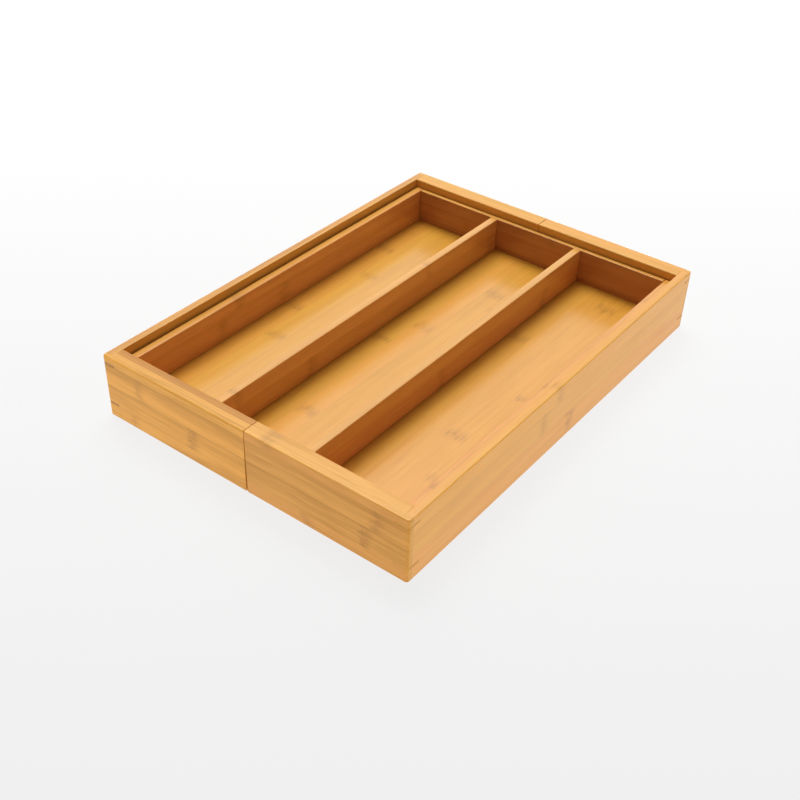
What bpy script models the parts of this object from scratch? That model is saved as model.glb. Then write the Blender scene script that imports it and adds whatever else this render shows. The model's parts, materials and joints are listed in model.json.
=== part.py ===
"""Expandable drawer organizer insert in laminated bamboo.

A tray with three compartments sits inside two half trays. Each half tray is a
U of one side wall and two end walls round a floor panel, and the two meet at a
seam halfway across. Rails on the middle tray run in grooves in the half trays'
end walls, so each half slides out sideways and opens one more compartment.

X runs across the drawer, Y from its front to its back, Z up. The origin is the
middle of the underside with both halves closed. Lengths are in metres.
"""

import math

import bmesh
import bpy
from mathutils import Vector

# Whole object, closed
WIDTH = 0.330
DEPTH = 0.457
HEIGHT = 0.064

# Fits
GLUE_GAP = 0.0003  # between pieces that are glued or let into each other
SEAM_GAP = 0.0006  # between the two half trays when closed
SIDE_PLAY = 0.002  # middle tray to a half tray's side wall
END_PLAY = 0.001  # middle tray to the end walls
RIDE_GAP = 0.0006  # middle tray's walls above the half trays' floors

# Boards
OUTER_SIDE = 0.008
OUTER_END = 0.017
INNER_SIDE = 0.008
INNER_END = 0.005
DIVIDER = 0.008
PANEL = 0.005
PANEL_LET_IN = 0.003
INNER_PANEL_LET_IN = 0.0025
OUTER_PANEL_BOTTOM = 0.005
INNER_PANEL_BOTTOM = 0.015
INNER_DROP = 0.008  # middle tray's rim below the half trays' rim
EDGE_RADIUS = 0.0012
CORNER_RADIUS = 0.003
CORNER_LIP = 0.005  # outer layer of an end wall, which laps the side wall's end
ROUNDING = 3  # segments

# Sliding: rails, their grooves and the stops
TRAVEL = 0.115
RAIL_HEIGHT = 0.008
RAIL_BOTTOM = 0.034
RAIL_HALF_LENGTH = 0.150
GROOVE_HALF_LENGTH = 0.152
GROOVE_DEPTH = 0.0085
RAIL_END_PLAY = 0.0005
PEG_RADIUS = 0.004
PEG_Y = 0.150
PEG_TOP = 0.014
PEG_SIDES = 32

# Thin keys glued across the outer corners
KEY_LEG = 0.013
KEY_THICKNESS = 0.0016
KEY_HEIGHTS = {"lower": 0.0150, "upper": 0.0565}

# Places that follow from the above
HALF_WIDTH = WIDTH / 2
HALF_DEPTH = DEPTH / 2
SEAM = SEAM_GAP / 2
OUTER_SIDE_IN = HALF_WIDTH - OUTER_SIDE
OUTER_END_IN = HALF_DEPTH - OUTER_END
INNER_HALF_WIDTH = OUTER_SIDE_IN - SIDE_PLAY
INNER_HALF_DEPTH = OUTER_END_IN - END_PLAY
INNER_SIDE_IN = INNER_HALF_WIDTH - INNER_SIDE
INNER_END_IN = INNER_HALF_DEPTH - INNER_END
INNER_BOTTOM = OUTER_PANEL_BOTTOM + PANEL + RIDE_GAP
INNER_TOP = HEIGHT - INNER_DROP
COMPARTMENT = (2 * INNER_SIDE_IN - 2 * DIVIDER) / 3
PEG_X = INNER_SIDE_IN - TRAVEL - GLUE_GAP - PEG_RADIUS
OVERCUT = 0.005  # how far a cutter runs past an open side
SAME_PLACE = 1e-6
PARALLEL = 0.999  # least share of an edge's length along an axis that it runs along

# Colours, linear
OUTER_BAMBOO = (0.72, 0.40, 0.14)
INNER_BAMBOO = (0.56, 0.26, 0.07)
PANEL_BAMBOO = (0.70, 0.38, 0.12)
DARK_BAMBOO = (0.36, 0.16, 0.05)

ENDS = {"front": -1, "back": 1}
SIDES = {"left": -1, "right": 1}


def clear_scene():
    for thing in list(bpy.data.objects):
        bpy.data.objects.remove(thing, do_unlink=True)


def finish(name, colour, roughness=0.42):
    material = bpy.data.materials.new(name)
    material.use_nodes = True
    shader = material.node_tree.nodes["Principled BSDF"]
    shader.inputs["Base Color"].default_value = (*colour, 1.0)
    shader.inputs["Roughness"].default_value = roughness
    shader.inputs["Metallic"].default_value = 0.0
    return material


def place(name, mesh, centre, parent=None):
    """An object of this mesh, whose points are in world places, with its origin at centre."""
    for vertex in mesh.vertices:
        vertex.co -= centre
    piece = bpy.data.objects.new(name, mesh)
    piece.location = centre
    if parent:
        piece.parent = parent
        piece.location = centre - parent.location
    bpy.context.scene.collection.objects.link(piece)
    return piece


def mesh_of(name, shape):
    bmesh.ops.recalc_face_normals(shape, faces=shape.faces)
    mesh = bpy.data.meshes.new(name)
    shape.to_mesh(mesh)
    shape.free()
    return mesh


def middle(low, high):
    return (Vector(low) + Vector(high)) / 2


def add_box(shape, low, high):
    """A closed box between two corners, added to a bmesh."""
    made = bmesh.ops.create_cube(shape, size=1.0)["verts"]
    for vertex in made:
        vertex.co = [a + (b - a) * (c + 0.5) for a, b, c in zip(low, high, vertex.co)]


def add_prism(shape, outline, bottom, top):
    """A closed prism on an outline of (x, y) points, added to a bmesh."""
    base = shape.faces.new([shape.verts.new((x, y, bottom)) for x, y in outline])
    raised = bmesh.ops.extrude_face_region(shape, geom=[base])["geom"]
    for item in raised:
        if isinstance(item, bmesh.types.BMVert):
            item.co.z = top


def runs_along(edge, axis):
    step = edge.verts[1].co - edge.verts[0].co
    return abs(step[axis]) > PARALLEL * step.length


def ease(shape, edges):
    bmesh.ops.bevel(
        shape, geom=edges, offset=EDGE_RADIUS, segments=ROUNDING, affect="EDGES", profile=0.5
    )


def board(name, low, high, colour, parent=None, grain=1):
    """A board with the arrises along its grain eased."""
    shape = bmesh.new()
    add_box(shape, low, high)
    ease(shape, [edge for edge in shape.edges if runs_along(edge, grain)])
    piece = place(name, mesh_of(name, shape), middle(low, high), parent)
    piece.data.materials.append(finish(name, colour))
    return piece


def corner_arc():
    """Points round the outer corner at the back right, from the side to the back."""
    turn_x = HALF_WIDTH - CORNER_RADIUS
    turn_y = HALF_DEPTH - CORNER_RADIUS
    steps = ROUNDING + 1
    angles = [math.pi / 2 * step / steps for step in range(steps + 1)]
    return [
        (turn_x + CORNER_RADIUS * math.cos(a), turn_y + CORNER_RADIUS * math.sin(a)) for a in angles
    ]


def rebated_board(name, side_x, side_y, colour, parent):
    """An end wall whose outer layer laps the side wall's end and turns the corner."""
    joint_x = OUTER_SIDE_IN - GLUE_GAP
    lip_y = HALF_DEPTH - CORNER_LIP
    outline = [
        (SEAM, OUTER_END_IN),
        (joint_x, OUTER_END_IN),
        (joint_x, lip_y),
        (HALF_WIDTH, lip_y),
        *corner_arc(),
        (SEAM, HALF_DEPTH),
    ]
    shape = bmesh.new()
    add_prism(shape, [(side_x * x, side_y * y) for x, y in outline], 0, HEIGHT)

    def shows(edge):
        """On a rim of the wall's inner face, its outer face or the rounded corner."""
        a, b = (vertex.co for vertex in edge.verts)
        level = abs(a.z - b.z) < SAME_PLACE
        x, y = abs(a.x + b.x) / 2, abs(a.y + b.y) / 2
        inner_face = runs_along(edge, 0) and abs(y - OUTER_END_IN) < SAME_PLACE
        outside = y > lip_y + SAME_PLACE and x > SEAM + SAME_PLACE
        return level and (inner_face or outside)

    ease(shape, [edge for edge in shape.edges if shows(edge)])
    centre = middle(
        (side_x * SEAM, side_y * OUTER_END_IN, 0), (side_x * HALF_WIDTH, side_y * HALF_DEPTH, HEIGHT)
    )
    piece = place(name, mesh_of(name, shape), centre, parent)
    piece.data.materials.append(finish(name, colour))
    return piece


def cutter(name, shape):
    """A hidden solid, modelled in place, for Boolean cuts."""
    mesh = mesh_of(name, shape)
    tool = place(name, mesh, Vector((0, 0, 0)))
    tool.hide_render = True
    tool.display_type = "WIRE"
    return tool


def box_cutter(name, low, high):
    shape = bmesh.new()
    add_box(shape, low, high)
    return cutter(name, shape)


def cut(piece, tool):
    modifier = piece.modifiers.new(tool.name, "BOOLEAN")
    modifier.operation = "DIFFERENCE"
    modifier.solver = "EXACT"
    modifier.object = tool


def mirrored(side, a, b):
    """Low and high of a stretch from a to b, measured outward from the middle on this side (-1 or 1)."""
    return sorted((side * a, side * b))


def corner_box(side_x, side_y, x, y, z):
    """Two corners of a box given as stretches outward in X and Y and upward in Z."""
    low_x, high_x = mirrored(side_x, *x)
    low_y, high_y = mirrored(side_y, *y)
    return (low_x, low_y, z[0]), (high_x, high_y, z[1])


def key_outline(side_x, side_y):
    """A right-angled triangle in the corner, its point rounded like the corner."""
    points = [(HALF_WIDTH, HALF_DEPTH - KEY_LEG), *corner_arc(), (HALF_WIDTH - KEY_LEG, HALF_DEPTH)]
    return [(side_x * x, side_y * y) for x, y in points]


def slot_outline(side_x, side_y):
    """The key's triangle with room for glue, running out past both faces."""
    leg = KEY_LEG + GLUE_GAP * math.sqrt(2) + 2 * OVERCUT
    corner_x = HALF_WIDTH + OVERCUT
    corner_y = HALF_DEPTH + OVERCUT
    points = [(corner_x, corner_y - leg), (corner_x, corner_y), (corner_x - leg, corner_y)]
    return [(side_x * x, side_y * y) for x, y in points]


def corner_key(side, end, level, parent, walls):
    """A thin key across one outer corner, and its slot in the two walls that it joins."""
    side_x, side_y = SIDES[side], ENDS[end]
    height = KEY_HEIGHTS[level]
    low, high = height - KEY_THICKNESS / 2, height + KEY_THICKNESS / 2
    slot = bmesh.new()
    add_prism(slot, slot_outline(side_x, side_y), low - GLUE_GAP, high + GLUE_GAP)
    tool = cutter(f"slot_{side}_{end}_{level}", slot)
    for wall in walls:
        cut(wall, tool)
    shape = bmesh.new()
    add_prism(shape, key_outline(side_x, side_y), low, high)
    name = f"{side}_corner_key_{end}_{level}"
    centre_x, centre_y = HALF_WIDTH - KEY_LEG / 3, HALF_DEPTH - KEY_LEG / 3
    centre = Vector((side_x * centre_x, side_y * centre_y, height))
    key = place(name, mesh_of(name, shape), centre, parent)
    key.data.materials.append(finish(name, DARK_BAMBOO, 0.5))


def stop_peg(side, end, parent, floor):
    """A dowel up through a half tray's floor; at full travel it meets the middle tray's side wall."""
    centre_x, centre_y = SIDES[side] * PEG_X, ENDS[end] * PEG_Y
    name = f"{side}_stop_peg_{end}"

    def upright(radius, bottom, top):
        angles = [2 * math.pi * step / PEG_SIDES for step in range(PEG_SIDES)]
        outline = [
            (centre_x + radius * math.cos(a), centre_y + radius * math.sin(a)) for a in angles
        ]
        shape = bmesh.new()
        add_prism(shape, outline, bottom, top)
        return shape

    panel_top = OUTER_PANEL_BOTTOM + PANEL
    hole = upright(PEG_RADIUS + GLUE_GAP, OUTER_PANEL_BOTTOM - OVERCUT, panel_top + OVERCUT)
    cut(floor, cutter(f"hole_{name}", hole))
    shape = upright(PEG_RADIUS, OUTER_PANEL_BOTTOM, PEG_TOP)
    centre = Vector((centre_x, centre_y, (OUTER_PANEL_BOTTOM + PEG_TOP) / 2))
    peg = place(name, mesh_of(name, shape), centre, parent)
    peg.data.shade_smooth()
    peg.data.set_sharp_from_angle(angle=math.radians(40))
    peg.data.materials.append(finish(name, PANEL_BAMBOO))


def half_tray(side):
    """One half tray, on an empty on its slide's axis."""
    side_x = SIDES[side]
    slide = bpy.data.objects.new(f"{side}_tray_slide", None)
    slide.location = (0, 0, RAIL_BOTTOM + RAIL_HEIGHT / 2)
    bpy.context.scene.collection.objects.link(slide)

    wall_end = HALF_DEPTH - CORNER_LIP - GLUE_GAP
    side_low, side_high = corner_box(
        side_x, 1, (OUTER_SIDE_IN, HALF_WIDTH), (-wall_end, wall_end), (0, HEIGHT)
    )
    side_wall = board(f"{side}_side_wall", side_low, side_high, OUTER_BAMBOO, slide)

    reach_x, reach_y = OUTER_SIDE_IN + PANEL_LET_IN, OUTER_END_IN + PANEL_LET_IN
    floor_z = (OUTER_PANEL_BOTTOM, OUTER_PANEL_BOTTOM + PANEL)
    floor_box = corner_box(side_x, 1, (SEAM, reach_x), (-reach_y, reach_y), floor_z)
    floor = board(f"{side}_floor_panel", *floor_box, PANEL_BAMBOO, slide)
    floor_room = box_cutter(
        f"floor_groove_{side}",
        *corner_box(
            side_x,
            1,
            (-OVERCUT, reach_x + GLUE_GAP),
            (-reach_y - GLUE_GAP, reach_y + GLUE_GAP),
            (floor_z[0] - GLUE_GAP, floor_z[1] + GLUE_GAP),
        ),
    )
    cut(side_wall, floor_room)

    for end, side_y in ENDS.items():
        end_wall = rebated_board(f"{side}_end_wall_{end}", side_x, side_y, OUTER_BAMBOO, slide)
        rail_room = box_cutter(
            f"rail_groove_{side}_{end}",
            *corner_box(
                side_x,
                side_y,
                (-OVERCUT, GROOVE_HALF_LENGTH),
                (OUTER_END_IN - OVERCUT, OUTER_END_IN + GROOVE_DEPTH),
                (RAIL_BOTTOM - GLUE_GAP, RAIL_BOTTOM + RAIL_HEIGHT + GLUE_GAP),
            ),
        )
        cut(end_wall, floor_room)
        cut(end_wall, rail_room)
        for level in KEY_HEIGHTS:
            corner_key(side, end, level, slide, (side_wall, end_wall))
        stop_peg(side, end, slide, floor)


def middle_tray():
    """The fixed tray: two side walls, two end walls, a floor panel, two dividers and the two rails."""
    walls_z = (INNER_BOTTOM, INNER_TOP)
    reach_x = INNER_SIDE_IN + PANEL_LET_IN
    reach_y = INNER_END_IN + INNER_PANEL_LET_IN
    floor_z = (INNER_PANEL_BOTTOM, INNER_PANEL_BOTTOM + PANEL)
    floor_room = box_cutter(
        "floor_groove_center",
        (-reach_x - GLUE_GAP, -reach_y - GLUE_GAP, floor_z[0] - GLUE_GAP),
        (reach_x + GLUE_GAP, reach_y + GLUE_GAP, floor_z[1] + GLUE_GAP),
    )
    floor_box = corner_box(1, 1, (-reach_x, reach_x), (-reach_y, reach_y), floor_z)
    board("center_floor_panel", *floor_box, PANEL_BAMBOO)

    for side, side_x in SIDES.items():
        wall = corner_box(
            side_x,
            1,
            (INNER_SIDE_IN, INNER_HALF_WIDTH),
            (-INNER_HALF_DEPTH, INNER_HALF_DEPTH),
            walls_z,
        )
        cut(board(f"center_side_wall_{side}", *wall, INNER_BAMBOO), floor_room)
        divider = corner_box(
            side_x,
            1,
            (COMPARTMENT / 2, COMPARTMENT / 2 + DIVIDER),
            (-INNER_END_IN + GLUE_GAP, INNER_END_IN - GLUE_GAP),
            (floor_z[1] + GLUE_GAP, INNER_TOP),
        )
        board(f"divider_{side}", *divider, INNER_BAMBOO)

    for end, side_y in ENDS.items():
        half_length = INNER_SIDE_IN - GLUE_GAP
        wall = corner_box(
            1, side_y, (-half_length, half_length), (INNER_END_IN, INNER_HALF_DEPTH), walls_z
        )
        cut(board(f"center_end_wall_{end}", *wall, INNER_BAMBOO, grain=0), floor_room)
        rail = corner_box(
            1,
            side_y,
            (-RAIL_HALF_LENGTH, RAIL_HALF_LENGTH),
            (INNER_HALF_DEPTH + GLUE_GAP, OUTER_END_IN + GROOVE_DEPTH - RAIL_END_PLAY),
            (RAIL_BOTTOM, RAIL_BOTTOM + RAIL_HEIGHT),
        )
        board(f"slide_rail_{end}", *rail, INNER_BAMBOO, grain=0)


def main():
    clear_scene()
    middle_tray()
    for side in SIDES:
        half_tray(side)


main()
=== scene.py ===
import json
import math
import random

import bmesh
import bpy
from mathutils import Matrix, Vector

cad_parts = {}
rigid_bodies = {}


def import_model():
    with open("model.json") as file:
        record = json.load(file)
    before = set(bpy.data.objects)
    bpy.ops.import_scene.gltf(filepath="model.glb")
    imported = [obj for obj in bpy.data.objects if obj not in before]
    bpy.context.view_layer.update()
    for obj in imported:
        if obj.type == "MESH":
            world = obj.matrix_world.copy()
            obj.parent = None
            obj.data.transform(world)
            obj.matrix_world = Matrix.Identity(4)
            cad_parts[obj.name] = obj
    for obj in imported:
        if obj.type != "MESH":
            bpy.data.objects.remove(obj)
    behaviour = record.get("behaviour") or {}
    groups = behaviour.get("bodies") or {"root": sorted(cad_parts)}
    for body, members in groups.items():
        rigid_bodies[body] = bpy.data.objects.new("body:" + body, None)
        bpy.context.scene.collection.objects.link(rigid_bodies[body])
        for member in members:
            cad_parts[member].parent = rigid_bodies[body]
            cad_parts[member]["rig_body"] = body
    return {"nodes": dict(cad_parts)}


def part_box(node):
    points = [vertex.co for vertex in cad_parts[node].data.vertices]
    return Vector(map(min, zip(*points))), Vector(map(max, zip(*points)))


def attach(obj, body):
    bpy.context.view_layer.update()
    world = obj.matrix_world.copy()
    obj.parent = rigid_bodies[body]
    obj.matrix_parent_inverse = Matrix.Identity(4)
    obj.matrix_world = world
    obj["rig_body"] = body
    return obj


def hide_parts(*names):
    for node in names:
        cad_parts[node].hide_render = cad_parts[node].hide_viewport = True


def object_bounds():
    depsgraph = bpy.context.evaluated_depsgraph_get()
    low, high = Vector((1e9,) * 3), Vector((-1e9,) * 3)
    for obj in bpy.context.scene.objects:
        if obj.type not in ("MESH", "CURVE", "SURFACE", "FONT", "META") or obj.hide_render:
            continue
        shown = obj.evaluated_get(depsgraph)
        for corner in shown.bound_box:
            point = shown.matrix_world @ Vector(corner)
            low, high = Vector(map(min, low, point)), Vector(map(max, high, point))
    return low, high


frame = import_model()
cad_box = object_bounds()

# Looks for the expandable bamboo drawer organizer. Every board is remade on its CAD node's box, with
# finer eased edges, the same grooves, slots and holes, and laminated bamboo that runs along its grain.
# Lengths are metres: X across the drawer, Y from front to back, Z up, the origin under the middle.

X, Y, Z = 0, 1, 2
HALF_WIDTH, HALF_DEPTH = cad_box[1].x, cad_box[1].y

SIDES = {"left": -1, "right": 1}
ENDS = {"front": -1, "back": 1}
LEVELS = ("lower", "upper")

# Fits
GLUE_GAP = 0.0003  # between glued pieces in the CAD
TIGHT = 0.00004  # what shows of a glued joint here
LIP = 0.005  # outer layer of an end wall, which laps the side wall's end
SEAM_TOP = 0.0002  # each half's end from the middle, at the top of the seam and at its bottom
SEAM_BOTTOM = 0.0009
GROOVE_END = 0.152  # a rail's groove in the end walls: its blind end and its back, from the middle
GROOVE_BACK = 0.220
KEY_LEG = 0.013
KEY_RECESS = 0.00006
KEY_SWELL = 0.00025  # how much a key closes its slot's gap, above and below
OVERCUT = 0.004  # how far a cutter runs past the wood
TOUCH = 1e-6  # places nearer than this are the same

# Edge radii
CORNER_RADIUS = 0.0030
RIM_RADIUS = 0.0013
INNER_RIM_RADIUS = 0.0009
SEAM_EASE = 0.0004
ARRIS = 0.0003
KEY_ARRIS = 0.00005
PEG_CHAMFER = 0.0006


# --- Meshes ---------------------------------------------------------------------------------------


def shape_of_box(low, high):
    shape = bmesh.new()
    made = bmesh.ops.create_cube(shape, size=1.0)["verts"]
    for vertex in made:
        vertex.co = [a + (b - a) * (c + 0.5) for a, b, c in zip(low, high, vertex.co)]
    return shape


def prism(outline, bottom, top):
    shape = bmesh.new()
    base = shape.faces.new([shape.verts.new((x, y, bottom)) for x, y in outline])
    for item in bmesh.ops.extrude_face_region(shape, geom=[base])["geom"]:
        if isinstance(item, bmesh.types.BMVert):
            item.co.z = top
    bmesh.ops.recalc_face_normals(shape, faces=shape.faces)
    return shape


def edge_middle(edge):
    return (edge.verts[0].co + edge.verts[1].co) / 2


def edges_along(shape, axis, where=lambda point: True):
    """Edges that run along an axis and whose middle passes a test."""
    found = []
    for edge in shape.edges:
        step = edge.verts[1].co - edge.verts[0].co
        if abs(step[axis]) > 0.99 * step.length and where(edge_middle(edge)):
            found.append(edge)
    return found


def edges_across(shape, axis, place):
    """Edges that lie in the plane at a place on an axis."""
    return [e for e in shape.edges if all(abs(v.co[axis] - place) < TOUCH for v in e.verts)]


def ease(shape, edges, radius, segments):
    bmesh.ops.bevel(
        shape, geom=edges, offset=radius, segments=segments, affect="EDGES", profile=0.5, clamp_overlap=True
    )


def mesh_object(name, shape):
    bmesh.ops.recalc_face_normals(shape, faces=shape.faces)
    mesh = bpy.data.meshes.new(name)
    shape.to_mesh(mesh)
    shape.free()
    piece = bpy.data.objects.new(name, mesh)
    bpy.context.scene.collection.objects.link(piece)
    return piece


def cut(piece, shapes):
    """Takes closed shapes away from a piece, and applies it."""
    tools = [mesh_object(f"cutter_{piece.name}_{i}", shape) for i, shape in enumerate(shapes)]
    for tool in tools:
        modifier = piece.modifiers.new(tool.name, "BOOLEAN")
        modifier.operation = "DIFFERENCE"
        modifier.solver = "EXACT"
        modifier.object = tool
    graph = bpy.context.evaluated_depsgraph_get()
    made = bpy.data.meshes.new_from_object(piece.evaluated_get(graph))
    piece.modifiers.clear()
    old = piece.data
    piece.data = made
    made.name = piece.name
    bpy.data.meshes.remove(old)
    for tool in tools:
        mesh = tool.data
        bpy.data.objects.remove(tool)
        bpy.data.meshes.remove(mesh)


def soften(piece, angle=35):
    """Rounded edges shade smoothly and flat faces stay flat."""
    piece.data.shade_smooth()
    piece.data.set_sharp_from_angle(angle=math.radians(angle))
    modifier = piece.modifiers.new("flat_faces", "WEIGHTED_NORMAL")
    modifier.keep_sharp = True
    modifier.mode = "FACE_AREA"
    modifier.weight = 100


def grown(low, high, by):
    return low - Vector((by,) * 3), high + Vector((by,) * 3)


# --- Shader nodes ---------------------------------------------------------------------------------


class Graph:
    """Short calls for making shader nodes."""

    def __init__(self, owner):
        self.tree = owner.node_tree
        self.links = self.tree.links

    def put(self, socket, value):
        if isinstance(value, bpy.types.NodeSocket):
            self.links.new(value, socket)
        elif isinstance(value, (tuple, list)) and len(value) == 3 and socket.type == "RGBA":
            socket.default_value = (*value, 1.0)
        else:
            socket.default_value = value

    def node(self, kind, settings=(), **inputs):
        made = self.tree.nodes.new("ShaderNode" + kind)
        for name, value in dict(settings).items():
            setattr(made, name, value)
        for name, value in inputs.items():
            self.put(made.inputs[name.replace("_", " ")], value)
        return made

    def math(self, operation, *values, clamp=False):
        made = self.node("Math", {"operation": operation, "use_clamp": clamp})
        for socket, value in zip(made.inputs, values):
            self.put(socket, value)
        return made.outputs[0]

    def times(self, a, b):
        return self.math("MULTIPLY", a, b)

    def total(self, values):
        result = values[0]
        for value in values[1:]:
            result = self.math("ADD", result, value)
        return result

    def swing(self, value, reach):
        """A value of 0 to 1 taken to half of reach either side of 0."""
        return self.times(self.math("SUBTRACT", value, 0.5), reach)

    def ramp(self, value, low, high, start=0.0, end=1.0, smooth=True):
        """value's stretch from low to high taken to start..end, held at both."""
        made = self.node("MapRange", {"interpolation_type": "SMOOTHSTEP" if smooth else "LINEAR"})
        for socket, number in zip(made.inputs, (value, low, high, start, end)):
            self.put(socket, number)
        return made.outputs[0]

    def vector(self, x, y, z):
        return self.node("CombineXYZ", X=x, Y=y, Z=z).outputs[0]

    def parts(self, vector):
        return self.node("SeparateXYZ", Vector=vector).outputs

    def noise(self, x, y, z, detail=1.0, roughness=0.5):
        made = self.node(
            "TexNoise",
            {"noise_dimensions": "3D"},
            Vector=self.vector(x, y, z), Scale=1.0, Detail=detail, Roughness=roughness,
        )
        return made.outputs[0]

    def blend(self, factor, a, b, kind="MIX"):
        made = self.node("Mix", {"data_type": "RGBA", "blend_type": kind, "clamp_factor": True})
        self.put(made.inputs[0], factor)
        self.put(made.inputs[6], a)
        self.put(made.inputs[7], b)
        return made.outputs[2]


# --- Bamboo ---------------------------------------------------------------------------------------


class Layup:
    """How a board is glued up: its grain's axis, the strips side by side and the plies through it."""

    def __init__(self, grain, across, strip, through, ply, strip_line=0.0, ply_line=0.0):
        self.grain, self.across, self.through = grain, across, through
        self.strip, self.strip_line = strip, strip_line  # width, and the place of one glue line
        self.ply, self.ply_line = ply, ply_line


OUTER_PLY = 0.0095  # outer of the two plies that make an end wall

END_LAYUP = Layup(X, Z, 0.0216, Y, OUTER_PLY, strip_line=0.0128, ply_line=-0.2285)
SIDE_LAYUP = Layup(Y, Z, 0.0210, X, 0.0100, strip_line=0.0060, ply_line=-0.1700)
FLOOR_LAYUP = Layup(Y, X, 0.0200, Z, 0.0100, strip_line=0.0543)
INNER_SIDE_LAYUP = Layup(Y, Z, 0.0190, X, 0.0100, strip_line=0.0060, ply_line=-0.1600)
INNER_END_LAYUP = Layup(X, Z, 0.0190, Y, 0.0100, strip_line=0.0060, ply_line=-0.2150)
DIVIDER_LAYUP = Layup(Y, Z, 0.0200, X, 0.0100, strip_line=0.0010, ply_line=-0.1600)
RAIL_LAYUP = Layup(X, Z, 0.0100, Y, 0.0100, strip_line=0.0330, ply_line=-0.2195)
KEY_LAYUP = Layup(X, Y, 0.0100, Z, 0.0050)
PEG_LAYUP = Layup(Z, X, 0.0200, Y, 0.0200, strip_line=0.0150, ply_line=0.1400)


class Tone:
    """Colours of one kind of board, linear, and how strongly they vary.

    side: what the upright faces are multiplied by, painted shade that makes them darker or
    tinted against the tops as the light falls on them. outside: the same for the face turned away
    from the tray's middle, where that differs, so that painted shade can differ between the faces
    turned to the middle and away from it. rind: how much each strip darkens towards its top, on the
    lowest strip and on the highest; the darkening within a strip is the wood's own, and the highest
    strip's extra over the lowest is painted shade, darker towards the top. second_ply: what an end
    wall's inner ply is multiplied by.
    """

    def __init__(
        self, pale, dark, end, streaks=0.5, side=(1.0, 1.0, 1.0), outside=None, rind=(0.15, 0.15),
        second_ply=None,
    ):
        self.pale, self.dark, self.end = pale, dark, end
        self.streaks, self.side, self.outside = streaks, side, outside
        self.rind, self.second_ply = rind, second_ply


# Painted shade in the front tones: the side tint makes the upright faces darker or tinted against the tops,
# as the light falls on them, and the higher strips darken more than the lowest, darker towards the top of
# the wall.
FRONT_LEFT_TONE = Tone(
    (0.88, 0.430, 0.060), (0.61, 0.278, 0.024), (0.70, 0.340, 0.070),
    streaks=1.0, side=(0.98, 0.95, 0.92), rind=(0.35, 0.75), second_ply=(0.74, 0.60, 0.38),
)
FRONT_RIGHT_TONE = Tone(
    (0.94, 0.495, 0.096), (0.68, 0.322, 0.036), (0.66, 0.320, 0.070),
    streaks=0.95, side=(0.80, 0.70, 0.58), rind=(0.5, 0.6), second_ply=(0.98, 0.96, 0.95),
)
BACK_TONE = Tone(
    (0.88, 0.440, 0.070), (0.66, 0.285, 0.036), (0.60, 0.285, 0.060),
    rind=(0.3, 0.3),
)
LEFT_SIDE_TONE = Tone(
    (0.82, 0.395, 0.060), (0.58, 0.240, 0.030), (0.58, 0.270, 0.055),
    streaks=0.6,
)
# Painted shade: the side tint makes the upright faces less blue than the top, as the light falls on them.
RIGHT_SIDE_TONE = Tone(
    (0.92, 0.450, 0.082), (0.76, 0.330, 0.048), (0.66, 0.320, 0.070),
    streaks=0.45, side=(1.0, 0.96, 0.82),
)
# Painted shade: the side tint makes the upright faces of the inner walls and dividers darker and bluer, as
# in the shade inside the tray.
INNER_TONE = Tone(
    (0.90, 0.440, 0.080), (0.66, 0.275, 0.042), (0.56, 0.250, 0.050),
    side=(0.90, 0.85, 1.12), rind=(0.2, 0.2),
)
# Painted shade: the side tint makes the upright faces turned to the tray's middle much darker, and the
# outside tint makes those turned away a little darker, as in the shade inside the tray.
INNER_END_TONE = Tone(
    (0.88, 0.430, 0.078), (0.64, 0.265, 0.040), (0.52, 0.230, 0.045),
    side=(0.72, 0.62, 0.98), outside=(0.92, 0.87, 0.86), rind=(0.2, 0.2),
)
PANEL_TONE = Tone(
    (0.86, 0.440, 0.056), (0.68, 0.300, 0.028), (0.58, 0.270, 0.055),
    streaks=0.4, rind=(0.0, 0.0),
)
RAIL_TONE = Tone((0.72, 0.350, 0.075), (0.50, 0.205, 0.035), (0.46, 0.200, 0.045))
KEY_TONE = Tone((0.52, 0.245, 0.055), (0.36, 0.150, 0.028), (0.40, 0.170, 0.035))
PALE_KEY_TONE = Tone((0.74, 0.350, 0.056), (0.58, 0.250, 0.034), (0.60, 0.280, 0.050))

# Where the photograph shows knuckles: (along the grain, across the strips, how much darker than usual)
SEEN_KNUCKLES = {
    "left_end_wall_front": [(-0.123, 0.045, 1.2), (-0.061, 0.024, 1.4), (-0.134, 0.006)],
    "right_end_wall_front": [(0.134, 0.045, 1.3), (0.123, 0.024, 1.3), (0.066, 0.006), (0.022, 0.060)],
    "right_side_wall": [(-0.041, 0.034), (-0.017, 0.052), (0.005, 0.020)],
    "center_floor_panel": [
        (-0.066, -0.125), (0.075, -0.123), (0.131, -0.140), (-0.016, -0.143),
        (-0.134, -0.023), (-0.005, -0.041), (0.035, -0.023), (0.128, -0.001), (0.101, 0.019),
        (0.079, 0.064), (-0.080, 0.104), (-0.001, 0.120), (0.176, 0.113), (-0.140, 0.118),
    ],
    "divider_left": [(-0.186, 0.052), (-0.093, 0.036), (0.082, 0.051)],
    "divider_right": [(-0.033, 0.039), (0.140, 0.030)],
    "center_side_wall_left": [(-0.080, 0.052), (-0.018, 0.032), (-0.104, 0.038)],
    "center_end_wall_back": [(0.019, 0.048), (-0.085, 0.036)],
}
INTERNODE = (0.14, 0.26)  # spacing of knuckles along a strip that the photograph doesn't show
KNUCKLE_MARGIN = 0.003  # from a board's edge to the strip whose knuckles come first
KNUCKLE_WIDTH = (0.009, 0.015)
KNUCKLE_STRENGTH = (0.65, 1.0)
KNUCKLE_COLOUR = (0.38, 0.155, 0.018)
KNUCKLE_BLEND = 0.62
KNUCKLE_RAGGED = 0.009  # how far a knuckle's edge strays along the grain, finely and broadly
KNUCKLE_DRIFT = 0.016

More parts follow.
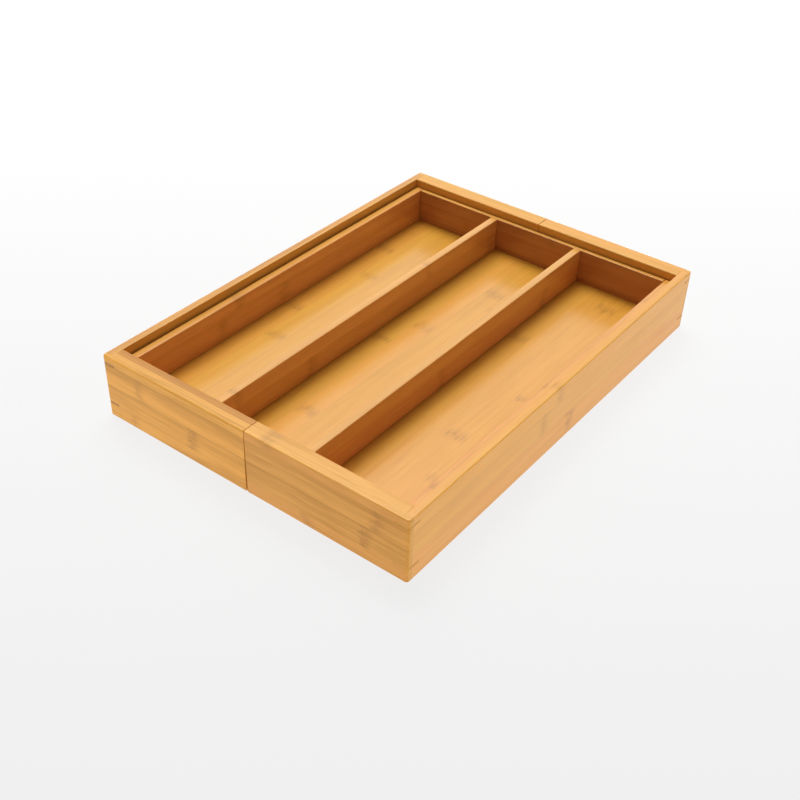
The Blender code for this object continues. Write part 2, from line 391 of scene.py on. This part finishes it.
# Fibres: length (m), fineness (per m), noise detail and share of the streaks
BROAD_FIBRES = (0.16, 150.0, 2.0, 0.85)
FINE_FIBRES = (0.055, 620.0, 2.0, 0.75)
FIBRE_BUNDLES = (0.022, 1900.0, 1.0, 0.55)
CLOUD_SHARE = 0.45
FIBRE_SWAY = 0.0011
STRIP_OFFSET = 40.0  # slides each strip's pattern along, so that no two match
STRIP_LEAN = 0.30  # how far a whole strip is lighter or darker
MEAN_DARKNESS = 0.38
YELLOW_TINT = (0.99, 1.025, 0.96)
PINK_TINT = (1.01, 0.975, 1.03)

GLUE_COLOUR = (0.40, 0.165, 0.022)
GLUE_LINE = 0.00045
GLUE_BLEND = (0.06, 0.36)  # faintest and strongest along a line
PLY_EDGE = 0.0002  # half the width over which one ply's colour gives way to the next
END_GRAIN_BLEND = 0.75
SPECULAR = 0.25
COAT_ROUGHNESS = 0.18
WORN = 0.22  # how much the roughness follows the fibres
BUMP = {"Strength": 0.18, "Distance": 0.00025}


def unseen_knuckles(low, high, layup, seed):
    """Knuckles spread along each strip of a board."""
    draw = random.Random(seed * 77)
    places = []
    across = low[layup.across] + KNUCKLE_MARGIN
    while across < high[layup.across]:
        along = low[layup.grain] + draw.uniform(0.02, INTERNODE[1])
        while along < high[layup.grain] - 0.01:
            places.append((along, across))
            along += draw.uniform(*INTERNODE)
        across += layup.strip
    return places


def knuckle(g, u, across, number, at, width, strength, wander):
    """The darker band where a culm's joint crossed one strip: sharp on one side, fading on the other."""
    shifted = g.math("ADD", g.math("SUBTRACT", u, at), wander)
    rise = g.ramp(shifted, -0.7 * width, 0.1 * width)
    fall = g.ramp(shifted, -0.1 * width, width, 1.0, 0.0)
    inside = g.math("COMPARE", across, float(number), 0.5)
    return g.times(g.times(g.times(rise, fall), inside), strength)


def knuckle_band(g, u, v, w, strip, fine, layup, knuckles, seed):
    """Where a board's knuckles are, 0 to about 1, or None if it has none."""
    if not knuckles:
        return None
    draw = random.Random(seed)
    mottle = g.noise(g.times(u, 260.0), g.times(v, 420.0), w, detail=2.0)
    drift = g.noise(g.times(u, 25.0), g.times(v, 130.0), seed * 1.9)
    wander = g.total([g.swing(mottle, KNUCKLE_RAGGED), g.swing(drift, KNUCKLE_DRIFT)])
    bands = []
    for at, across, *boost in knuckles:
        number = math.floor((across - layup.strip_line) / layup.strip)
        width = draw.uniform(*KNUCKLE_WIDTH)
        strength = draw.uniform(*KNUCKLE_STRENGTH) * (boost[0] if boost else 1.0)
        bands.append(knuckle(g, u, strip, number, at, width, strength, wander))
    patchy = g.times(g.ramp(mottle, 0.25, 0.75, 0.4, 1.0), g.ramp(fine, 0.3, 0.65, 0.55, 1.15))
    return g.times(g.total(bands), patchy)


def painted_face_shade_and_ply(g, tone, facing, layup, w, colour):
    """Painted shade on the upright faces, darker or tinted against the tops as the light falls on them, and
    the inner ply's colour.
    """
    # Painted shade: upright faces are multiplied by the side tint, or by the outside tint where they are
    # turned away from the middle
    upright = g.ramp(g.math("ABSOLUTE", facing[Z]), 0.45, 0.9, 1.0, 0.0)
    side = tone.side
    if tone.outside:
        away = g.ramp(g.times(facing[layup.through], w), 0.0, 0.1)
        side = g.blend(away, tone.side, tone.outside)
    colour = g.blend(upright, colour, side, "MULTIPLY")
    if tone.second_ply:
        joint = HALF_DEPTH - OUTER_PLY
        inner = g.ramp(g.math("ABSOLUTE", w), joint - PLY_EDGE, joint + PLY_EDGE, 1.0, 0.0)
        colour = g.blend(inner, colour, tone.second_ply, "MULTIPLY")
    return colour


def bamboo(name, layup, tone, knuckles, seed, coat, rough):
    """Laminated bamboo, with knuckles at (along the grain, across the strips) places."""
    material = bpy.data.materials.new(name)
    material.use_nodes = True
    g = Graph(material)
    shader = material.node_tree.nodes["Principled BSDF"]
    place = g.node("TexCoord").outputs
    facing = g.parts(place["Normal"])
    axes = g.parts(place["Object"])
    u, v, w = axes[layup.grain], axes[layup.across], axes[layup.through]

    # Which strip and ply a point is in, and three random numbers for that piece of bamboo
    strips = g.math("DIVIDE", g.math("SUBTRACT", v, layup.strip_line), layup.strip)
    strip = g.math("FLOOR", strips)
    in_strip = g.math("FRACT", strips)
    ply = g.math("FLOOR", g.math("DIVIDE", g.math("SUBTRACT", w, layup.ply_line), layup.ply))
    cell = g.node("TexWhiteNoise", {"noise_dimensions": "3D"}, Vector=g.vector(strip, ply, float(seed)))
    chance = g.node("SeparateColor", Color=cell.outputs["Color"]).outputs

    # Fibres, drawn out along the grain
    sway = g.noise(g.times(u, 9.0), g.times(v, 30.0), seed * 3.7)
    v_bent = g.math("ADD", v, g.swing(sway, FIBRE_SWAY))
    along = g.math("ADD", u, g.times(chance[0], STRIP_OFFSET))
    fibres, shares = [], []
    for length, fineness, detail, share in (BROAD_FIBRES, FINE_FIBRES, FIBRE_BUNDLES):
        stretched = (g.times(along, 1.0 / length), g.times(v_bent, fineness), g.times(w, fineness))
        fibres.append(g.noise(*stretched, detail=detail, roughness=0.55))
        shares.append(g.swing(fibres[-1], share))
    _, fine, bundles = fibres
    cloud = g.noise(g.times(along, 18.0), g.times(v, 45.0), w)
    streak = g.total([*shares, g.swing(cloud, CLOUD_SHARE)])

    # Each strip has a shade of its own and darkens towards its top, where the culm's rind was; the higher
    # strips darken more than the lowest, and that difference is painted shade, darker towards the top of
    # the wall
    low_rind, high_rind = tone.rind
    rind_strength = g.total([
        g.ramp(strips, -0.02, 0.02, -0.8 * low_rind, low_rind),
        g.ramp(strips, 0.98, 1.02, 0.0, high_rind - low_rind),
    ])
    rind = g.times(rind_strength, g.ramp(in_strip, 0.15, 0.95, -0.3, 0.7))
    shade = [g.times(streak, tone.streaks * 2.0), g.swing(chance[1], STRIP_LEAN), rind]
    darkness = g.math("ADD", g.total(shade), MEAN_DARKNESS, clamp=True)
    colour = g.blend(darkness, tone.pale, tone.dark)
    # Painted shade on the upright faces, and the inner ply's colour
    colour = painted_face_shade_and_ply(g, tone, facing, layup, w, colour)
    tint = g.blend(g.ramp(chance[2], 0.1, 0.9), YELLOW_TINT, PINK_TINT)
    colour = g.blend(1.0, colour, tint, "MULTIPLY")

    band = knuckle_band(g, u, v, w, strip, fine, layup, knuckles, seed)
    if band:
        colour = g.blend(g.times(band, KNUCKLE_BLEND), colour, KNUCKLE_COLOUR)

    # Glue lines between strips
    edge = g.math("ABSOLUTE", g.math("SUBTRACT", in_strip, 0.5))
    line = g.ramp(edge, 0.5 - GLUE_LINE / layup.strip, 0.5)
    uneven = g.noise(g.times(u, 25.0), strip, float(seed), detail=2.0)
    glue = g.times(line, g.ramp(uneven, 0.35, 0.7, *GLUE_BLEND))
    colour = g.blend(glue, colour, GLUE_COLOUR)

    # End grain is darker, with the bundles as dots
    end = g.ramp(g.math("ABSOLUTE", facing[layup.grain]), 0.75, 0.95)
    dots = g.ramp(bundles, 0.40, 0.62)
    colour = g.blend(g.times(end, END_GRAIN_BLEND), colour, g.blend(dots, tone.end, tone.pale))
    g.put(shader.inputs["Base Color"], colour)

    # Satin lacquer over the wood
    roughness = g.math("ADD", rough, g.swing(fine, WORN))
    roughness = g.math("ADD", roughness, g.times(end, 0.12), clamp=True)
    g.put(shader.inputs["Roughness"], roughness)
    shader.inputs["Specular IOR Level"].default_value = SPECULAR
    shader.inputs["Coat Weight"].default_value = coat
    shader.inputs["Coat Roughness"].default_value = COAT_ROUGHNESS
    height = g.total([g.times(fine, 0.6), g.times(bundles, 0.4), g.times(glue, -0.4)])
    if band:
        height = g.math("ADD", height, g.times(band, 0.8))
    bump = g.node("Bump", Height=height, **BUMP)
    g.put(shader.inputs["Normal"], bump.outputs[0])
    return material


# --- Boards ---------------------------------------------------------------------------------------


def dress(piece, node, slot_name, layup, tone, seed, coat=0.9, rough=0.42):
    """Gives a piece its bamboo and puts it in its CAD node's place."""
    knuckles = SEEN_KNUCKLES.get(node)
    if knuckles is None:
        knuckles = unseen_knuckles(*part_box(node), layup, seed)
    piece.data.materials.clear()
    piece.data.materials.append(bamboo(f"bamboo_{node}", layup, tone, knuckles, seed, coat, rough))
    soften(piece)
    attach(piece, frame["nodes"][node]["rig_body"])
    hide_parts(node)


def floor_groove(panel):
    """The room for a floor panel's edges in the walls around it."""
    return grown(*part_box(panel), GLUE_GAP)


def key_slot(side, end, level):
    """The triangle cut across a corner for its key."""
    low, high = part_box(f"{side}_corner_key_{end}_{level}")
    side_x, side_y = SIDES[side], ENDS[end]
    leg = KEY_LEG + GLUE_GAP * math.sqrt(2)
    far_x, far_y = HALF_WIDTH + OVERCUT, HALF_DEPTH + OVERCUT
    outline = [
        (far_x, HALF_DEPTH - leg - OVERCUT),
        (far_x, far_y),
        (HALF_WIDTH - leg - OVERCUT, far_y),
    ]
    return prism([(side_x * x, side_y * y) for x, y in outline], low.z - GLUE_GAP, high.z + GLUE_GAP)


def corner_slots(side, ends):
    return [key_slot(side, end, level) for end in ends for level in LEVELS]


def corner_arc(far_x, far_y, steps=9):
    """Points round the outer corner at the back right, from the side to the back."""
    turn_x, turn_y = far_x - CORNER_RADIUS, far_y - CORNER_RADIUS
    angles = [math.pi / 2 * step / steps for step in range(steps + 1)]
    return [(turn_x + CORNER_RADIUS * math.cos(a), turn_y + CORNER_RADIUS * math.sin(a)) for a in angles]


def outer_side_wall(side, seed):
    node = f"{side}_side_wall"
    low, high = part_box(node)
    low.y, high.y = -HALF_DEPTH + LIP + TIGHT, HALF_DEPTH - LIP - TIGHT
    shape = shape_of_box(low, high)
    side_x = SIDES[side]
    inner_x = min(abs(low.x), abs(high.x))
    ease(shape, edges_along(shape, Y, lambda at: at.x * side_x > inner_x + TOUCH), RIM_RADIUS, segments=5)
    ease(shape, edges_along(shape, Y, lambda at: at.x * side_x < inner_x + TOUCH), ARRIS, segments=2)
    piece = mesh_object(f"wall_side_{side}", shape)
    cut(piece, [shape_of_box(*floor_groove(f"{side}_floor_panel")), *corner_slots(side, ENDS)])
    tone = RIGHT_SIDE_TONE if side == "right" else LEFT_SIDE_TONE
    dress(piece, node, "outer_bamboo", SIDE_LAYUP, tone, seed, coat=0.4)


def outer_end_wall(side, end, seed):
    """An end wall, its outer layer turned round the corner over the side wall's end."""
    node = f"{side}_end_wall_{end}"
    low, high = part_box(node)
    side_x, side_y = SIDES[side], ENDS[end]
    seam_x = min(abs(low.x), abs(high.x))
    inner_y = min(abs(low.y), abs(high.y))
    wall_low, wall_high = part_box(f"{side}_side_wall")
    joint_x = min(abs(wall_low.x), abs(wall_high.x)) - TIGHT
    lip_y = HALF_DEPTH - LIP
    outline = [
        (seam_x, inner_y), (joint_x, inner_y), (joint_x, lip_y), (HALF_WIDTH, lip_y),
        *corner_arc(HALF_WIDTH, HALF_DEPTH), (seam_x, HALF_DEPTH),
    ]
    shape = prism([(side_x * x, side_y * y) for x, y in outline], low.z, high.z)

    def on_rim(edge):
        middle = edge_middle(edge)
        level = abs(edge.verts[0].co.z - edge.verts[1].co.z) < TOUCH
        inner_face = abs(abs(middle.y) - inner_y) < TOUCH
        outside = abs(middle.y) > lip_y + TOUCH and abs(middle.x) > 2 * SEAM_BOTTOM
        return level and (inner_face or outside)

    for vertex in shape.verts:
        if abs(abs(vertex.co.x) - seam_x) < TOUCH:
            vertex.co.x = side_x * (SEAM_BOTTOM if vertex.co.z < low.z + TOUCH else SEAM_TOP)
    ease(shape, [edge for edge in shape.edges if on_rim(edge)], RIM_RADIUS, segments=5)
    seam = [e for e in shape.edges if all(abs(v.co.x) < SEAM_BOTTOM + TOUCH for v in e.verts)]
    ease(shape, seam, SEAM_EASE, segments=3)
    piece = mesh_object(f"wall_end_{side}_{end}", shape)
    room_low, room_high = floor_groove(f"{side}_floor_panel")
    room_low.x, room_high.x = sorted((-side_x * OVERCUT, side_x * (HALF_WIDTH - LIP)))
    rail_low, rail_high = grown(*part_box(f"slide_rail_{end}"), GLUE_GAP)
    rail_low.x, rail_high.x = sorted((-side_x * OVERCUT, side_x * GROOVE_END))
    rail_low.y, rail_high.y = sorted((side_y * GROOVE_BACK, side_y * (inner_y - OVERCUT)))
    grooves = [shape_of_box(room_low, room_high), shape_of_box(rail_low, rail_high)]
    cut(piece, [*grooves, *corner_slots(side, [end])])
    tones = {"left_end_wall_front": FRONT_LEFT_TONE, "right_end_wall_front": FRONT_RIGHT_TONE}
    dress(piece, node, "outer_bamboo", END_LAYUP, tones.get(node, BACK_TONE), seed, coat=0.28)


def plain_board(name, node, slot_name, layup, tone, seed, radius=INNER_RIM_RADIUS, cuts=(), **finish):
    """A board with its long edges rounded and its end edges just broken."""
    low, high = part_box(node)
    shape = shape_of_box(low, high)
    ease(shape, edges_along(shape, layup.grain), radius, segments=4)
    for limit in (low[layup.grain], high[layup.grain]):
        ease(shape, edges_across(shape, layup.grain, limit), ARRIS, segments=1)
    piece = mesh_object(name, shape)
    if cuts:
        cut(piece, cuts)
    dress(piece, node, slot_name, layup, tone, seed, **finish)


def peg_shape(node, wider=0.0, facets=48):
    low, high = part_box(node)
    centre = (low + high) / 2
    radius = (high.x - low.x) / 2 + wider
    angles = [math.tau * i / facets for i in range(facets)]
    outline = [(centre.x + radius * math.cos(a), centre.y + radius * math.sin(a)) for a in angles]
    return prism(outline, low.z - 3 * wider, high.z + 3 * wider)


def stop_peg(side, end, seed):
    node = f"{side}_stop_peg_{end}"
    low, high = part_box(node)
    shape = peg_shape(node)
    ease(shape, edges_across(shape, Z, high.z) + edges_across(shape, Z, low.z), PEG_CHAMFER, segments=3)
    piece = mesh_object(f"peg_{side}_{end}", shape)
    dress(piece, node, "rail_bamboo", PEG_LAYUP, RAIL_TONE, seed)


def corner_key(side, end, level, seed):
    """A thin key that fills its slot, sanded off just under the surface."""
    node = f"{side}_corner_key_{end}_{level}"
    low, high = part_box(node)
    bottom, top = low.z - KEY_SWELL, high.z + KEY_SWELL
    side_x, side_y = SIDES[side], ENDS[end]
    far_x, far_y = HALF_WIDTH - KEY_RECESS, HALF_DEPTH - KEY_RECESS
    outline = [(far_x, HALF_DEPTH - KEY_LEG), *corner_arc(far_x, far_y), (HALF_WIDTH - KEY_LEG, far_y)]
    shape = prism([(side_x * x, side_y * y) for x, y in outline], bottom, top)
    ease(shape, edges_across(shape, Z, top) + edges_across(shape, Z, bottom), KEY_ARRIS, segments=1)
    piece = mesh_object(f"key_{side}_{end}_{level}", shape)
    tone = PALE_KEY_TONE if side == "right" else KEY_TONE
    dress(piece, node, "key_bamboo", KEY_LAYUP, tone, seed, coat=0.2, rough=0.5)


def half_tray(side, seed):
    outer_side_wall(side, seed)
    for step, end in enumerate(ENDS):
        outer_end_wall(side, end, seed + 1 + step)
    holes = [peg_shape(f"{side}_stop_peg_{end}", GLUE_GAP) for end in ENDS]
    plain_board(
        f"floor_{side}", f"{side}_floor_panel", "panel_bamboo", FLOOR_LAYUP, PANEL_TONE, seed + 3,
        radius=ARRIS, cuts=holes, coat=0.75,
    )
    for step, end in enumerate(ENDS):
        stop_peg(side, end, seed + 4 + step)
        for level in LEVELS:
            corner_key(side, end, level, seed + 6 + step)


def middle_tray(seed):
    room = floor_groove("center_floor_panel")
    plain_board(
        "floor_center", "center_floor_panel", "panel_bamboo", FLOOR_LAYUP, PANEL_TONE, seed,
        radius=ARRIS, coat=0.75,
    )
    for step, side in enumerate(SIDES):
        plain_board(
            f"wall_inner_{side}", f"center_side_wall_{side}", "inner_bamboo", INNER_SIDE_LAYUP,
            INNER_TONE, seed + 1 + step, cuts=[shape_of_box(*room)], coat=0.6,
        )
        plain_board(
            f"divider_board_{side}", f"divider_{side}", "inner_bamboo", DIVIDER_LAYUP,
            INNER_TONE, seed + 3 + step, coat=0.6,
        )
    for step, end in enumerate(ENDS):
        plain_board(
            f"wall_inner_{end}", f"center_end_wall_{end}", "inner_bamboo", INNER_END_LAYUP,
            INNER_END_TONE, seed + 5 + step, cuts=[shape_of_box(*room)], coat=0.6,
        )
        plain_board(
            f"rail_{end}", f"slide_rail_{end}", "rail_bamboo", RAIL_LAYUP,
            RAIL_TONE, seed + 7 + step, radius=ARRIS,
        )


# --- Studio ---------------------------------------------------------------------------------------

CAMERA_PLACE = (0.5184, -0.7298, 0.6402)
CAMERA_TURN = (36.15, 37.23, 2.01)  # azimuth, elevation and roll, degrees
CAMERA_LENS = 52.23  # mm on a sensor SENSOR_WIDTH wide
SENSOR_WIDTH = 36.0

# The table glows, less towards the camera, and meets the room's brightness at the horizon
TABLE_RADIUS = 6.0
TABLE_DROP = 0.0002
TABLE_COLOUR = (0.08, 0.08, 0.08, 1.0)
FROM_CAMERA = (-0.59, 0.807)  # level direction in which the glow grows
GLOW_STRETCH = (-0.6, 0.9)
TABLE_GLOW = (0.775, 0.975)
HORIZON_STRETCH = (2.0, 5.5)

# The room's light by height, a soft card at the back left and a little light from the right
ROOM_FADE = (0.0, 0.11)
ROOM_LIGHT = (0.8, 0.16)
CARD_DIRECTION = (-0.47, 0.67, 0.60)
CARD_EDGE = (34, 22)  # degrees from its middle at which it starts and is full
CARD_LIGHT = 1.3
RIGHT_LIGHT = 0.2

# Direction, distance, size and power of the key light
KEY_LIGHT = ((-0.32, 0.27, 1.0), 3.2, (1.7, 1.7), 79.0)

# Low strips beside the tray light its outer faces from below the rim, so the inside stays dim
STRIP_HEIGHT = 0.03
STRIP_DISTANCE = 1.1
STRIP_SIZE = (1.3, 0.05)
LOW_STRIPS = {
    "low_front": ((0.0, -1.0), 3.1),
    "low_right": ((1.0, 0.0), 2.5),
    "low_back": ((0.0, 1.0), 3.0),
    "low_left": ((-1.0, 0.0), 3.0),
}


def camera():
    data = bpy.data.cameras.new("camera")
    data.sensor_width = SENSOR_WIDTH
    data.lens = CAMERA_LENS
    data.clip_start = 0.01
    maker = bpy.data.objects.new("camera", data)
    azimuth, elevation, roll = (math.radians(angle) for angle in CAMERA_TURN)
    turn = Matrix.Rotation(azimuth, 4, "Z") @ Matrix.Rotation(math.pi / 2 - elevation, 4, "X")
    turn = turn @ Matrix.Rotation(roll, 4, "Z")
    maker.matrix_world = Matrix.Translation(CAMERA_PLACE) @ turn
    bpy.context.scene.collection.objects.link(maker)
    bpy.context.scene.camera = maker


def softbox(name, direction, distance, size, power):
    """A lamp aimed at the tray from a distance, itself out of the picture."""
    data = bpy.data.lights.new(name, "AREA")
    data.shape = "RECTANGLE"
    data.size, data.size_y = size
    data.energy = power
    lamp = bpy.data.objects.new(name, data)
    towards = Vector(direction).normalized()
    lamp.location = towards * distance
    lamp.rotation_euler = (-towards).to_track_quat("-Z", "Y").to_euler()
    lamp.visible_camera = False
    bpy.context.scene.collection.objects.link(lamp)


def table_top():
    shape = bmesh.new()
    bmesh.ops.create_circle(shape, cap_ends=True, segments=96, radius=TABLE_RADIUS)
    floor = mesh_object("studio_floor", shape)
    floor.location.z = -TABLE_DROP
    material = bpy.data.materials.new("studio_floor")
    material.use_nodes = True
    g = Graph(material)
    shader = material.node_tree.nodes["Principled BSDF"]
    place = g.node("TexCoord").outputs["Object"]
    axes = g.parts(place)
    back = g.total([g.times(axes[X], FROM_CAMERA[X]), g.times(axes[Y], FROM_CAMERA[Y])])
    glow = g.ramp(back, *GLOW_STRETCH, *TABLE_GLOW, smooth=False)
    far = g.node("VectorMath", {"operation": "LENGTH"})
    g.put(far.inputs[0], place)
    horizon = g.ramp(far.outputs["Value"], *HORIZON_STRETCH)
    near = g.times(glow, g.math("SUBTRACT", 1.0, horizon))
    glow = g.math("ADD", near, g.times(horizon, ROOM_LIGHT[0]))
    shader.inputs["Base Color"].default_value = TABLE_COLOUR
    shader.inputs["Roughness"].default_value = 0.9
    shader.inputs["Specular IOR Level"].default_value = 0.0
    shader.inputs["Emission Color"].default_value = (1.0, 1.0, 1.0, 1.0)
    g.put(shader.inputs["Emission Strength"], glow)
    floor.data.materials.append(material)


def surroundings():
    world = bpy.data.worlds.new("studio")
    world.use_nodes = True
    g = Graph(world)
    place = g.node("TexCoord").outputs["Generated"]
    axes = g.parts(place)
    room = g.ramp(axes[Z], *ROOM_FADE, *ROOM_LIGHT)
    facing = g.node("VectorMath", {"operation": "DOT_PRODUCT"})
    g.put(facing.inputs[0], place)
    facing.inputs[1].default_value = Vector(CARD_DIRECTION).normalized()
    edge, full = (math.cos(math.radians(angle)) for angle in CARD_EDGE)
    card = g.ramp(facing.outputs["Value"], edge, full, 0.0, CARD_LIGHT)
    right = g.times(g.ramp(axes[X], 0.2, 0.9), g.ramp(axes[Z], 0.85, 0.25, 0.0, RIGHT_LIGHT))
    background = world.node_tree.nodes["Background"]
    background.inputs["Color"].default_value = (1.0, 1.0, 1.0, 1.0)
    g.put(background.inputs["Strength"], g.total([room, card, right]))
    bpy.context.scene.world = world


def studio():
    scene = bpy.context.scene
    scene.view_settings.view_transform = "Standard"
    scene.view_settings.look = "None"
    surroundings()
    table_top()
    softbox("key", *KEY_LIGHT)
    for name, (direction, power) in LOW_STRIPS.items():
        softbox(name, (*direction, STRIP_HEIGHT), STRIP_DISTANCE, STRIP_SIZE, power)


camera()
studio()
middle_tray(seed=10)
half_tray("left", seed=30)
half_tray("right", seed=50)
